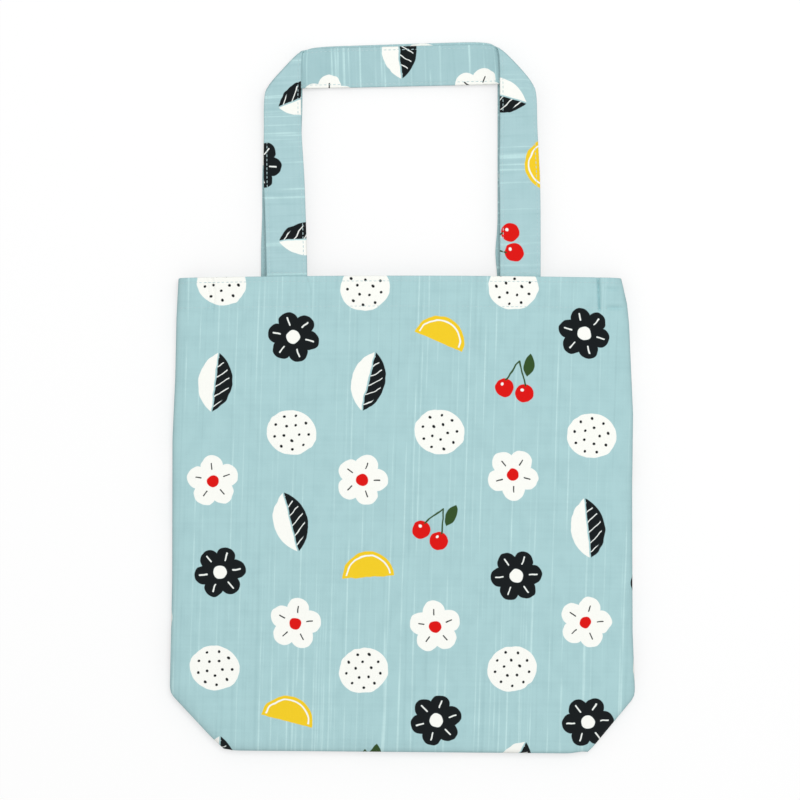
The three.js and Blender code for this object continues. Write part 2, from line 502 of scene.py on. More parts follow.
def red_berries(x, y):
    berries = (long(x + 5.6, y + 5.4) - 5.2).least(long(x - 5.8, y + 7.0) - 5.2)
    shine = (long(x + 7.2, y + 3.6) - 0.9).least(long(x - 4.2, y + 5.2) - 0.9)
    stems = stroke(x, y, (-5.6, -1.0), (0.6, 10.5), 0.9).least(stroke(x, y, (5.8, -2.6), (0.6, 10.5), 0.9))
    leaf = lens(x - 6.2, y - 9.0, 6.6, 3.0)
    glint = inside(shine)
    return {"green": inside(stems.least(leaf)), "red": inside(berries) * glint.opposite(), "white": glint}


PRINT_COLOURS = {"white": WHITE, "black": BLACK, "red": RED, "yellow": YELLOW, "green": GREEN}
COMMON_MOTIFS = (white_blossom, half_leaf, seed_pod, black_blossom)


def print_covers(tree, u, v):
    """How far each print colour covers the cloth at a place."""
    column = (u / COLUMN_PITCH).floor()
    drop = column.wrapped(2.0) * 0.5
    row = (v / ROW_PITCH + drop).floor()
    to_side, up, turn = chances(tree, column, row)
    x = u - (column + 0.5) * COLUMN_PITCH + (to_side - 0.5) * SCATTER
    y = v - (row - drop + 0.5) * ROW_PITCH + (up - 0.5) * SCATTER
    angle = (turn - 0.5) * TILT
    x, y = x / MOTIF_SCALE, y / MOTIF_SCALE
    x, y = x * angle.cosine() + y * angle.sine(), y * angle.cosine() - x * angle.sine()

    berries = (column * 3.0 + row * 5.0).wrapped(13.0).is_near(4.0)
    yellow = (column * 5.0 + row * 3.0).wrapped(11.0).is_near(7.0) * berries.opposite()
    common = berries.most(yellow).opposite()
    kind = (column * 2.0 + row).wrapped(4.0)
    shown = [(red_berries, berries), (yellow_slice, yellow)]
    shown += [(motif, kind.is_near(float(i)) * common) for i, motif in enumerate(COMMON_MOTIFS)]

    covers = {}
    for motif, here in shown:
        for colour, cover in motif(x, y).items():
            part = cover * here
            covers[colour] = covers[colour].most(part) if colour in covers else part
    return {colour: covers[colour] for colour in PRINT_COLOURS}


def make_cotton(name, ground, strength):
    """Slub cotton with its print; strength is how far the print shows, less on the reverse."""
    material, tree, shader = new_material(name)
    u, v = cloth_places(tree)
    wobble = noise(tree, u / 7.0, v / 7.0, 1.0) - 0.5
    fibres = noise(tree, u / FIBRE_SIZE, v / FIBRE_SIZE, 1.0)
    warp = u - v * WARP_SLANT + noise(tree, u / 40.0, v / 60.0, 0.0) * 0.6
    slubs = noise(tree, warp / SLUB_SIZE[0], v / SLUB_SIZE[1], 0.0)
    breaks = noise(tree, warp / BREAK_SIZE[0], v / BREAK_SIZE[1], 1.0).ramp(*BREAK_FROM)
    yarns = noise(tree, warp / YARN_SIZE[0], v / YARN_SIZE[1], 0.0)
    weft = noise(tree, u / WEFT_SIZE[0], v / WEFT_SIZE[1], 0.0)
    mottle = noise(tree, u / MOTTLE_SIZE[0], v / MOTTLE_SIZE[1], 1.0)

    light = slubs.ramp(*LIGHT_FROM) * breaks
    dark = slubs.ramp(*DARK_FROM) * breaks
    colour = painted(tree, ground, light + (yarns - 0.4) * YARN_SHARE, SLUB_LIGHT)
    uneven = (mottle - 0.45) * MOTTLE_SHARE + (weft - 0.4) * WEFT_SHARE
    shade = dark * DARK_SHARE + fibres.ramp(*FIBRE_FROM) * FIBRE_SHARE + uneven
    colour = painted(tree, colour, shade, SLUB_DARK)
    for ink, cover in print_covers(tree, u + wobble * 1.4, v - wobble * 1.4).items():
        colour = painted(tree, colour, cover * strength, PRINT_COLOURS[ink])
    tree.links.new(colour, shader.inputs["Base Color"])

    across, along = (2 * math.pi / pitch for pitch in WEAVE_PITCH)
    weave = (u * across).sine() * (v * along).sine()
    height = weave * 0.25 + light * 0.5 + fibres * 0.4
    add_bump(tree, shader, height, 0.10)
    rough = light * -0.06 + 0.92
    tree.links.new(rough.socket, shader.inputs["Roughness"])
    shader.inputs["Specular IOR Level"].default_value = 0.12
    shader.inputs["Sheen Weight"].default_value = 0.03
    shader.inputs["Sheen Roughness"].default_value = 0.6
    return material


def make_thread(name):
    """Spun sewing thread: two plies that twist along each stitch."""
    material, tree, shader = new_material(name)
    u, v = cloth_places(tree)
    ply = ((u / 0.55 + v / 0.9) * (2 * math.pi)).sine() * 0.5 + 0.5
    fuzz = noise(tree, u / 0.12, v / 0.12, 2.0)
    # Darker between the plies: painted shade in the grooves of the twist
    colour = painted(tree, THREAD, ply.opposite() * 0.35, SLUB_DARK)
    colour = painted(tree, colour, fuzz.ramp(0.5, 0.8) * 0.3, WHITE)
    tree.links.new(colour, shader.inputs["Base Color"])
    add_bump(tree, shader, ply + fuzz * 0.5, 0.06)
    shader.inputs["Roughness"].default_value = 0.7
    shader.inputs["Specular IOR Level"].default_value = 0.3
    return material


# Shape helpers
def smooth(low, high, value):
    share = np.clip((value - low) / (high - low), 0, 1)
    return share * share * (3 - 2 * share)


def bump_at(value, middle, width):
    return np.exp(-((value - middle) / width) ** 2)


def waves(x, y, seed, count, shortest, longest):
    """Gentle unevenness of about -1 to 1, made of crossing waves."""
    chance = np.random.default_rng(seed)
    total = np.zeros(np.broadcast(x, y).shape)
    for _ in range(count):
        way, start = chance.uniform(0, 2 * np.pi, 2)
        length = chance.uniform(shortest, longest)
        total += np.sin((x * np.cos(way) + y * np.sin(way)) * 2 * np.pi / length + start)
    return total / math.sqrt(count)


def unit(vectors):
    return vectors / np.maximum(np.linalg.norm(vectors, axis=-1, keepdims=True), 1e-9)


def grid_normals(points):
    """Normals of a grid whose rows run up the cloth and whose columns run across it."""
    return unit(np.cross(np.gradient(points, axis=1), np.gradient(points, axis=0)))


def new_object(name, points, faces, flat, materials, material_of):
    """A smooth closed mesh that keeps each point's place on its flat cloth."""
    mesh = bpy.data.meshes.new(name)
    mesh.from_pydata((points * MM).tolist(), [], faces)
    layer = mesh.attributes.new("cloth_at", "FLOAT_VECTOR", "POINT")
    layer.data.foreach_set("vector", (flat * MM).astype(np.float32).ravel())
    for material in materials:
        mesh.materials.append(material)
    mesh.polygons.foreach_set("material_index", np.asarray(material_of, dtype=np.int32))
    form = bmesh.new()
    form.from_mesh(mesh)
    bmesh.ops.recalc_face_normals(form, faces=form.faces)
    form.to_mesh(mesh)
    form.free()
    mesh.shade_smooth()
    mesh.set_sharp_from_angle(angle=math.radians(62))
    made = bpy.data.objects.new(name, mesh)
    bpy.context.scene.collection.objects.link(made)
    return made


def sheet_object(name, upper, lower, upper_flat, lower_flat, materials):
    """A cloth with two faces and closed edges, from two grids of points."""
    rows, columns = upper.shape[:2]
    count = rows * columns
    index = np.arange(count).reshape(rows, columns)
    quads = np.stack([index[:-1, :-1], index[:-1, 1:], index[1:, 1:], index[1:, :-1]], axis=-1).reshape(-1, 4)
    rim = np.concatenate([index[0], index[1:, -1], index[-1, -2::-1], index[-2:0:-1, 0]])
    ahead = np.roll(rim, -1)
    walls = np.stack([ahead, rim, rim + count, ahead + count], axis=-1)
    faces = np.concatenate([quads, quads[:, ::-1] + count, walls])
    material_of = np.zeros(len(faces))
    material_of[len(quads):2 * len(quads)] = len(materials) - 1
    points = np.concatenate([upper.reshape(-1, 3), lower.reshape(-1, 3)])
    flat = np.concatenate([upper_flat.reshape(-1, 3), lower_flat.reshape(-1, 3)])
    return new_object(name, points, faces.tolist(), flat, materials, material_of)


# The two faces of the bag
def side_at(side, height):
    places, heights = zip(*side)
    return np.interp(height, heights, places)


def line_gap(x, height, start, end):
    """Distance to the left of the way from start to end."""
    run = np.subtract(end, start)
    run = run / np.hypot(*run)
    return run[0] * (height - start[1]) - run[1] * (x - start[0])


def seam_gaps(x, height):
    """Distances from a point of a face to its five closed edges: bottom, sides and cut corners."""
    return np.stack([
        height,
        x - side_at(LEFT_SIDE[1:], height),
        side_at(RIGHT_SIDE[1:], height) - x,
        line_gap(x, height, LEFT_SIDE[1], LEFT_SIDE[0]),
        line_gap(x, height, RIGHT_SIDE[0], RIGHT_SIDE[1]),
    ])


def mark_relief(x, height, mark, ripples):
    """Relief of one mark in the hem, from the ripples across it."""
    beside = x - side_at(mark, height)
    return sum(rise * bump_at(beside, place, width) for rise, place, width in ripples)


def hem_relief(x, height, gaps):
    """The hem's second layer, the strap ends in it, its stitched rows, and the side seam's ridge under it."""
    hem_low = BODY_HEIGHT - HEM_DEPTH
    tab_low = BODY_HEIGHT - TAB_LENGTH
    in_hem = smooth(hem_low - 1.6, hem_low + 1.2, height)
    rise = HEM_STEP * in_hem
    over_leg = smooth(STRAP_WIDTH / 2 + 2, STRAP_WIDTH / 2 - 1, abs(abs(x) - STRAP_SPACING / 2))
    rise = rise + TAB_RISE * over_leg * smooth(tab_low - 1, tab_low + 2, height)
    for row in (TOP_ROW, LOWER_ROW):
        rise = rise - ROW_DIP * bump_at(height, row, ROW_WIDTH)
    ridge = SEAM_RIDGE * smooth(SEAM_ALLOWANCE + 1, SEAM_ALLOWANCE - 1, np.minimum(gaps[1], gaps[2]))
    marks = sum(mark_relief(x, height, mark, ripples) for mark, ripples in HEM_MARKS)
    past_furrow = smooth(*DENT_START, x - side_at(RIGHT_FURROW, height))
    for row, depth in RIGHT_DENTS:
        marks = marks - depth * bump_at(height, row, DENT_WIDTH) * past_furrow
    return rise + in_hem * (ridge + marks)


def crown_at(gap):
    """Share of its full height that a face has reached at a distance from its seam."""
    depth = np.clip(gap / CROWN_MARGIN, 0, 1)
    return (1 - (1 - depth) ** CROWN_POWER) ** (1 / CROWN_POWER)


def face_height(x, height, seed):
    """Height of a face's middle layer over the plane of the seams."""
    gaps = np.maximum(seam_gaps(x, height), 0)
    crown = crown_at(gaps).prod(axis=0)
    nearest = gaps.min(axis=0)
    wander = 2 * waves(x, height, seed + 1, *PUCKER_WANDER)
    puckers = np.sin((x + height) * 2 * np.pi / PUCKER_LENGTH + wander)
    relief = UNDULATION * waves(x, height, seed, *UNDULATION_WAVES)
    relief = relief + PUCKER * puckers * np.exp(-nearest / PUCKER_REACH) * smooth(0, 3, nearest)
    relief = relief + hem_relief(x, height, gaps)
    return SEAM_RISE + crown * (MID_Z - CLOTH / 2 - SEAM_RISE) + relief * smooth(0, SEAM_CALM, nearest)


def lying_y(x, height):
    """Y of a point of the lying bag: the mouth drops to its ends, the bottom lies askew and ends rounded."""
    up = height / BODY_HEIGHT
    out = x / HALF_WIDTH
    drop = MOUTH_DROP + MOUTH_BOW * out ** 2
    lift = BOTTOM_LIFT - BOTTOM_TILT * out
    rounding = CORNER_LIFT * bump_at(abs(x), CORNER_AT, CORNER_REACH) * np.exp(-height / CORNER_REACH)
    return BOTTOM_Y + height - up * drop + (1 - up) * lift + rounding


def face_points(x, height, face):
    """Points of the middle of the front (face 1) or back (face -1) cloth."""
    inset = BACK_INSET if face < 0 else 0
    y = lying_y(x, height) + (1 - 2 * height / BODY_HEIGHT) * inset
    rise = face_height(x, height, FRONT_SEED if face > 0 else BACK_SEED)
    if face < 0:
        rise = np.minimum(rise, MID_Z - CLOTH / 2)
    x = x * (1 - inset / HALF_WIDTH)
    return np.stack([x, y, MID_Z + face * rise], axis=-1)


def crown_extra(gap):
    """How much longer the cloth is than its shadow, from the flat of a face to a distance from its seam."""
    places = np.linspace(0, CROWN_MARGIN, 200)
    rise = (MID_Z - SEAM_RISE) * crown_at(places)
    steps = np.hypot(np.diff(places), np.diff(rise)) - np.diff(places)
    extra = np.concatenate([np.cumsum(steps[::-1])[::-1], [0]])
    return np.interp(gap, places, extra)


def flat_places(x, height):
    """Where points of a face lie on its flat cloth."""
    bottom, left, right = np.maximum(seam_gaps(x, height)[:3], 0)
    across = x - crown_extra(left) + crown_extra(right)
    return np.stack([across, height - crown_extra(bottom), np.zeros_like(x)], axis=-1)


def cut_at(flat, cut):
    """Flat places on a piece as places on the printed cloth that it was cut from."""
    return flat + np.array([*cut, 0])


def crown_places():
    """Distances from a seam at which its crown is drawn, closest where it is steepest."""
    return CROWN_MARGIN * (1 - np.cos(np.linspace(0, np.pi / 2, CROWN_STEPS)))


def with_marks(shares):
    """The grid's columns, set closer around the marks in the hem."""
    height = BODY_HEIGHT - HEM_DEPTH / 2
    left = side_at(LEFT_SIDE, height)
    right = side_at(RIGHT_SIDE, height)
    fold, furrow, right_furrow = (side_at(mark, height) for mark in (TAB_FOLD, LEFT_FURROW, RIGHT_FURROW))
    for mark in (fold, furrow - LEFT_FURROW_GAP / 2, right_furrow):
        low, high = (mark + np.array([-1, 1]) * MARK_REACH - left) / (right - left)
        close = np.linspace(low, high, MARK_COLUMNS)
        clear = close[1] - close[0]
        shares = np.concatenate([shares[shares < low - clear], close, shares[shares > high + clear]])
    return shares


def face_grid(face):
    """The face's points up to the mouth, row by row, and their flat places."""
    near = crown_places() / (2 * HALF_WIDTH)
    count = round(2 * (HALF_WIDTH - CROWN_MARGIN) / GRID / 2) * 2
    shares = np.concatenate([near[:-1], np.linspace(near[-1], 1 - near[-1], count + 1), 1 - near[-2::-1]])
    shares = with_marks(shares)
    hem_start = BODY_HEIGHT - HEM_DEPTH - 4
    body_rows = np.linspace(CROWN_MARGIN, hem_start, round((hem_start - CROWN_MARGIN) / GRID))
    hem_rows = np.linspace(hem_start, BODY_HEIGHT, round((BODY_HEIGHT - hem_start) / HEM_GRID))
    heights = np.concatenate([crown_places()[:-1], body_rows[:-1], hem_rows])
    height, share = np.meshgrid(heights, shares, indexing="ij")
    left = side_at(LEFT_SIDE, height)
    right = side_at(RIGHT_SIDE, height)
    x = left + share * (right - left)
    return face_points(x, height, face), flat_places(x, height), len(hem_rows)


def lip_bands(edge, flat, inward, face):
    """Strips of cloth turned in along one closed edge, the innermost first."""
    bands = []
    flat_bands = []
    for inset, lift in SEAM_LIP:
        band = edge + inset * np.array(inward)
        band[:, 2] = MID_Z + face * lift
        bands.append(band)
        flat_bands.append(flat - (inset + SEAM_RISE) * np.array(inward))
    return bands, flat_bands


def with_lips(points, flat, face):
    """The face with its closed edges turned in along the seams."""
    left, left_flat = lip_bands(points[:, 0], flat[:, 0], (1, 0, 0), face)
    right, right_flat = lip_bands(points[:, -1], flat[:, -1], (-1, 0, 0), face)
    points = np.concatenate([np.stack(left, 1), points, np.stack(right[::-1], 1)], axis=1)
    flat = np.concatenate([np.stack(left_flat, 1), flat, np.stack(right_flat[::-1], 1)], axis=1)
    low, low_flat = lip_bands(points[0], flat[0], (0, 1, 0), face)
    return np.concatenate([np.stack(low), points]), np.concatenate([np.stack(low_flat), flat])


def with_hem(points, flat, face, hem_rows):
    """The face with its top edge turned to the inside."""
    normals = face * grid_normals(points)
    upward = unit(points[-1] - points[-2])
    middle = points[-1] - HEM_TURN * normals[-1]
    turn = np.linspace(0, np.pi, TURN_STEPS)[1:-1, None, None]
    bend = middle + HEM_TURN * (np.cos(turn) * normals[-1] + np.sin(turn) * upward)
    bend_flat = flat[-1] + turn * HEM_TURN * np.array([0, 1, 0])
    inner = (points - 2 * HEM_TURN * normals)[-hem_rows:][::-2]
    inner_flat = flat[-hem_rows:][::-2].copy()
    inner_flat[..., 1] = 2 * BODY_HEIGHT + np.pi * HEM_TURN - inner_flat[..., 1]
    return np.concatenate([points, bend, inner]), np.concatenate([flat, bend_flat, inner_flat])


def face_layers(face):
    """A face's outer and inner layer and their flat places, hem and seam lips included."""
    points, flat, hem_rows = face_grid(face)
    points, flat = with_hem(*with_lips(points, flat, face), face, hem_rows)
    normals = face * grid_normals(points)
    return points + normals * CLOTH / 2, points - normals * CLOTH / 2, flat


def flat_area(flat):
    """Area of a flat grid of cloth, in square metres."""
    one = flat[1:, 1:, :2] - flat[:-1, :-1, :2]
    two = flat[:-1, 1:, :2] - flat[1:, :-1, :2]
    return float(abs(one[..., 0] * two[..., 1] - one[..., 1] * two[..., 0]).sum() / 2) * MM * MM


def flat_size(flat):
    return tuple(float(np.ptp(flat[..., axis])) * MM for axis in (0, 1))


def follow_sides(piece, side):
    """Bakes a front piece's place into its mesh."""
    side * HELD_AT
    side * FREE_AT
    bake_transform(piece)


def add_front(cotton, reverse):
    """The front cloth, in a left and a right half."""
    outer, inner, flat = face_layers(1)
    middle = int(abs(flat[-1, :, 0]).argmin())
    for side, part in ((-1, slice(0, middle + 1)), (1, slice(middle, None))):
        name = "front_cloth_left" if side < 0 else "front_cloth_right"
        place = cut_at(flat[:, part], FRONT_CUT)
        half = sheet_object(name, outer[:, part], inner[:, part], place, place, [cotton, reverse])
        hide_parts("front_panel", "front_hem_facing")
        follow_sides(half, side)
        flat_size(place)
        flat_area(place)


def add_back(cotton, reverse):
    outer, inner, flat = face_layers(-1)
    place = cut_at(flat, BACK_CUT)
    cloth = sheet_object("back_cloth", outer, inner, place, place, [cotton, reverse])
    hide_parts("back_panel", "back_hem_facing")
    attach(cloth, "back")
    flat_size(flat)
    flat_area(flat)


# Stitches
def stitch_form():
    """Points and faces of one stitch along the first axis, raised in its middle and sunk at its ends."""
    stations = np.linspace(-1, 1, 6)
    around = np.linspace(0, 2 * np.pi, 6, endpoint=False)
    station, angle = np.meshgrid(stations, around, indexing="ij")
    full = np.sqrt(np.maximum(1 - station ** 2, 0.08))
    points = np.stack([
        station * STITCH_LENGTH / 2,
        THREAD_HALF_WIDTH * full * np.cos(angle),
        THREAD_HALF_HEIGHT * full * np.sin(angle) + STITCH_ARCH * (1 - station ** 2) - STITCH_SINK,
    ], axis=-1)
    flat = np.stack([points[..., 0], angle * 0.3, np.zeros_like(angle)], axis=-1)
    index = np.arange(station.size).reshape(station.shape)
    ahead = np.roll(index, -1, axis=1)
    quads = np.stack([index[:-1], ahead[:-1], ahead[1:], index[1:]], axis=-1).reshape(-1, 4)
    faces = quads.tolist() + [index[0, ::-1].tolist(), index[-1].tolist()]
    return points.reshape(-1, 3), flat.reshape(-1, 3), faces


def stitch_object(name, rows, thread):
    """All stitches of several rows; each row gives its stitches' middles and a way to place points."""
    form, form_flat, form_faces = stitch_form()
    points, flat, faces = [], [], []
    for middles, place in rows:
        for middle in middles:
            first = len(points) * len(form)
            faces += [[first + corner for corner in face] for face in form_faces]
            points.append(place(middle + form[:, 0], form[:, 1], form[:, 2]))
            flat.append(form_flat + (middle, 0, 0))
    material_of = np.zeros(len(faces))
    return new_object(name, np.concatenate(points), faces, np.concatenate(flat), [thread], material_of)


def on_face(row, face):
    """Places points of a hem row on a face: along it, across it, and above the cloth."""
    def place(along, across, above):
        height = row + across
        step = 0.3
        middle = face_points(along, height, face)
        to_side = face_points(along + step, height, face) - middle
        upward = face_points(along, height + step, face) - middle
        normal = face * unit(np.cross(to_side, upward))
        return middle + normal * (CLOTH / 2 + above)[:, None]
    return place


def add_hem_stitches(thread):
    for row_name, row in (("top", TOP_ROW), ("lower", LOWER_ROW)):
        left = side_at(LEFT_SIDE, row) + ROW_END
        right = side_at(RIGHT_SIDE, row) - ROW_END
        middles = np.arange(left, right, STITCH_PITCH)
        for side, name in ((-1, "left"), (1, "right")):
            rows = [(middles[middles * side > 0], on_face(row, 1))]
            stitches = stitch_object(f"front_hem_{row_name}_stitches_{name}", rows, thread)
            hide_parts(f"front_hem_{row_name}_stitch")
            follow_sides(stitches, side)
        stitches = stitch_object(f"back_hem_{row_name}_stitches", [(middles, on_face(row, -1))], thread)
        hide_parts(f"back_hem_{row_name}_stitch")
        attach(stitches, "back")


# Straps, worked out flat and then folded to a mitre at both upper corners
def turned(beyond, above):
    """A strap turns half round at a mitre line: how far past the line it reaches, and its height."""
    turning = beyond + HALF_TURN
    bend = np.clip(turning / FOLD_RADIUS, 0, np.pi)
    past = np.maximum(turning - 2 * HALF_TURN, 0)
    reach = np.minimum(turning, 0) + (FOLD_RADIUS + above) * np.sin(bend) - past
    return reach - HALF_TURN, (FOLD_RADIUS + above) * np.cos(bend)


def folded_strap(along, across, above):
    """A flat strap's points as they lie folded: X, Y over the mouth, and Z over the middle of a leg."""
    x = across - STRAP_SPACING / 2 + MITRE_X
    y = along - MITRE_Y
    reach, height = turned((y - x) / ROOT_TWO, above)
    on_line = (x + y) / ROOT_TWO
    x = (on_line - reach) / ROOT_TWO - MITRE_X
    y = (on_line + reach) / ROOT_TWO + MITRE_Y
    z = height - FOLD_RADIUS
    over = x - MITRE_X
    up = y - MITRE_Y
    reach, height = turned((over + up) / ROOT_TWO, above)
    on_line = (up - over) / ROOT_TWO
    after = along > STRAP_LENGTH / 2
    x = np.where(after, (reach - on_line) / ROOT_TWO + MITRE_X, x)
    y = np.where(after, (reach + on_line) / ROOT_TWO + MITRE_Y, y)
    z = np.where(after, -FOLD_RADIUS - height, z)
    return x, y, z


def eased_mitres(x, y, draws):
    """The strap drawn in towards each mitre, and rounded where the mitre ends at the strap's edges."""
    for side, drawn in zip((-1, 1), draws):
        out = MITRE_X - side * x
        down = MITRE_Y - y
        draw = drawn * np.exp(-((out + down) / ROOT_TWO + FOLD_OUT) / MITRE_REACH)
        for end in (0, STRAP_WIDTH):
            draw = draw + MITRE_ROUNDING * np.exp(-np.hypot(out - end, down + end) / ROUNDING_REACH)
        x = x - side * draw / ROOT_TWO
        y = y - draw / ROOT_TWO
    return x, y


def leaned(x, y, left, right):
    """Each leg moved aside as left and right say at its height, and a little narrower towards its mitre."""
    share = smooth(-50, 50, x)
    from_middle = np.clip(abs(x) - STRAP_SPACING / 2, -STRAP_WIDTH / 2, STRAP_WIDTH / 2)
    pinch = LEG_PINCH * smooth(*PINCH_HEIGHTS, y) * smooth(10, (STRAP_SPACING - STRAP_WIDTH) / 2, abs(x))
    return x + left * (1 - share) + right * share - np.sign(x) * pinch * from_middle


def lean_at(lean, y):
    """How far a leg lies aside at a height over the mouth."""
    foot, changes = lean
    return foot + sum(change * smooth(low, high, y) for change, low, high in changes)


def front_lie(x, y):
    """The front handle as it lies: its legs lean to the left going up, and its span drops to the left."""
    x, y = eased_mitres(x, y, FRONT_MITRE_DRAW)
    drop = np.interp(x, LEG_PLACES, FRONT_DROP)
    left = lean_at(FRONT_LEFT_LEAN, y)
    right = lean_at(FRONT_RIGHT_LEAN, y)
    return leaned(x, y, left, right), y - drop * np.clip(y / MITRE_AT, 0, 1)


def back_lie(x, y):
    """The back handle, further left, hidden at its mitres, and a little above the front one's span."""
    x, y = eased_mitres(x, y, BACK_MITRE_DRAW)
    drop = np.interp(x, LEG_PLACES, BACK_DROP)
    left = lean_at(BACK_LEFT_LEAN, y)
    bow = BACK_RIGHT_BOW * bump_at(y, BACK_RIGHT_BOW_AT, BACK_RIGHT_BOW_REACH)
    right = lean_at(BACK_RIGHT_LEAN, y) - bow
    return leaned(x, y, left, right), y - drop * np.clip(y / MITRE_AT, 0, 1)


def lying_strap(face):
    """Places flat strap points on the lying bag."""
    lie = front_lie if face > 0 else back_lie

    def place(along, across, above):
        x, y, z = folded_strap(along, across, above)
        x, y = lie(x, y)
        ripple = np.sin(x / SWAY_LENGTHS[0] + y / SWAY_LENGTHS[1])
        sway = SWAY * (1 + ripple) * smooth(*SWAY_HEIGHTS, y)
        sag = SPAN_SAG * smooth((STRAP_SPACING - STRAP_WIDTH) / 2 + 3, SAG_INSIDE, abs(x))
        on_leg = 1 + folded_strap(along, across, np.zeros_like(above))[2] / (2 * FOLD_RADIUS)
        loft = MITRE_LOFT * on_leg * smooth(*LOFT_HEIGHTS, y) * (face > 0)
        level = MID_Z + face * (LEG_Z + z) - DROOP * np.maximum(y, 0) + sway - sag + loft
        return np.stack([x, MOUTH_Y + y, level], axis=-1)
    return place


def strap_half(across):
    """Half the strap's thickness: round at the edges and drawn in along the stitched rows."""
    edge = np.clip((abs(across) - STRAP_WIDTH / 2 + STRAP_HALF) / STRAP_HALF, 0, 0.99)
    return STRAP_HALF * np.sqrt(1 - edge ** 2) - ROW_DRAW * bump_at(abs(across), EDGE_ROW, 0.6)


def strap_stations():
    """Places along the strap, close together at the turns, and their slant to line up with the mitres."""
    first = MITRE_AT + np.linspace(-FOLD_LENGTH, FOLD_LENGTH, 11) / 2
    second = first + SECOND_MITRE_AT - MITRE_AT
    stretches = [
        np.arange(-TAB_LENGTH, first[0] - 1, GRID),
        first,
        np.arange(first[-1] + GRID, second[0] - 1, GRID),
        second,
        np.arange(second[-1] + GRID, STRAP_LENGTH + TAB_LENGTH, GRID),
    ]
    along = np.concatenate(stretches)
    slant = np.zeros_like(along)
    for turn, way in ((first, 1), (second, -1)):
        away = np.maximum(turn[0] - along, 0) + np.maximum(along - turn[-1], 0)
        slant += way * smooth(SLANT_REACH, 6, away)
    return along, slant


def strap_rows(place):
    """Stitch rows along both edges of both sides, and one across each leg just above the mouth."""
    middles = np.arange(2, STRAP_LENGTH - 1, STITCH_PITCH)
    rows = []
    for up in (-1, 1):
        for edge_row in (-EDGE_ROW, EDGE_ROW):
            surface = strap_half(np.array(edge_row))
            to_first = abs(middles - MITRE_AT - edge_row)
            to_second = abs(middles - SECOND_MITRE_AT + edge_row)
            clear = middles[np.minimum(to_first, to_second) > FOLD_LENGTH / 2 + STITCH_LENGTH]
            rows.append((clear, lambda s, t, w, r=edge_row, u=up, z=surface: place(s, r + t, u * (z + w))))
        for foot in (FOOT_ROW, STRAP_LENGTH - FOOT_ROW):
            across = np.arange(2 - EDGE_ROW, EDGE_ROW - 1, STITCH_PITCH)
            rows.append((across, lambda t, s, w, f=foot, u=up: place(f + s, t, u * (STRAP_HALF + w))))
    return rows


def add_strap(face, cotton, under, thread):
    name = "front" if face > 0 else "back"
    half = STRAP_WIDTH / 2
    edge = half - STRAP_HALF * (1 - np.sin(np.linspace(np.pi / 2, 0, 5)))
    inner = half - np.array(COLUMN_INSETS)
    columns = np.concatenate([edge, inner])
    columns = np.concatenate([-columns, [0], columns[::-1]])
    stations, slant = strap_stations()
    across = np.broadcast_to(columns, (len(stations), len(columns)))
    along = stations[:, None] + slant[:, None] * across
    place = lying_strap(face)
    thick = strap_half(across)
    none = np.zeros_like(along)
    cut = FRONT_STRAP_CUT if face > 0 else BACK_STRAP_CUT
    upper_flat = cut_at(np.stack([along, across, none], axis=-1), cut)
    lower_flat = cut_at(np.stack([along, STRAP_WIDTH - across, none], axis=-1), cut)
    upper = place(along, across, thick)
    lower = place(along, across, -thick)
    # The lower face, seen on the span behind the legs, takes the darker cotton of painted shade
    strap = sheet_object(f"{name}_strap", upper, lower, upper_flat, lower_flat, [cotton, under])
    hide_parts(f"{name}_handle_strap", f"{name}_left_tab", f"{name}_right_tab")

    stitches = stitch_object(f"{name}_strap_stitches", strap_rows(place), thread)

    for piece in (strap, stitches):
        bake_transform(piece)
    length = (STRAP_LENGTH + 2 * TAB_LENGTH) * MM


# Seam allowances inside the bag
def seam_strip(name, start, end, reverse, thread):
    """Both layers of one seam allowance, from start to end along a closed edge, with its overlocked edge."""
    start = np.array(start, dtype=float)
    run = np.array(end, dtype=float) - start
    length = np.hypot(*run)
    run = run / length
    inward = np.array([-run[1], run[0]])

    def place(along, across, above):
        wave = SEAM_WAVE * np.sin(along / SEAM_WAVE_LENGTH) * across / SEAM_ALLOWANCE
        spot = [start[i] + run[i] * along + inward[i] * (SEAM_INSET + across) for i in (0, 1)]
        return np.stack([spot[0], lying_y(*spot), MID_Z + above + wave], axis=-1)

    margin = SEAM_ALLOWANCE * 0.5
    stations = np.linspace(margin, length - margin, round(length / 4))
    widths = np.linspace(0, SEAM_ALLOWANCE, 7)
    along, across = np.meshgrid(stations, widths, indexing="ij")
    along = along + (along - length / 2) * SEAM_TAPER * across / SEAM_ALLOWANCE
    flat = np.stack([across, along, np.zeros_like(along)], axis=-1)
    thick = SEAM_HALF * np.ones_like(along)
    upper = place(along, across, thick)
    lower = place(along, across, -thick)
    strip = sheet_object(f"{name}_allowance", upper, lower, flat, flat, [reverse])
    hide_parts(name)
    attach(strip, "back")

    rows = []
    edge = [SEAM_ALLOWANCE - OVERLOCK_INSET]
    for up in (-1, 1):
        for middle in np.arange(stations[0] + 3, stations[-1] - 3, STITCH_PITCH):
            tapered = middle + (middle - length / 2) * SEAM_TAPER
            rows.append((edge, lambda t, s, w, m=tapered, u=up: place(m + s, t, u * (SEAM_HALF + w))))
    overlock = stitch_object(f"{name}_overlock", rows, thread)
    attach(overlock, "back")


def add_seams(reverse, thread):
    corners = [LEFT_SIDE[-1], LEFT_SIDE[1], LEFT_SIDE[0], RIGHT_SIDE[0], RIGHT_SIDE[1], RIGHT_SIDE[-1]]
    names = ("left_side_seam", "left_corner_seam", "bottom_seam", "right_corner_seam", "right_side_seam")
    for name, start, end in zip(names, corners, corners[1:]):
        seam_strip(name, start, end, reverse, thread)


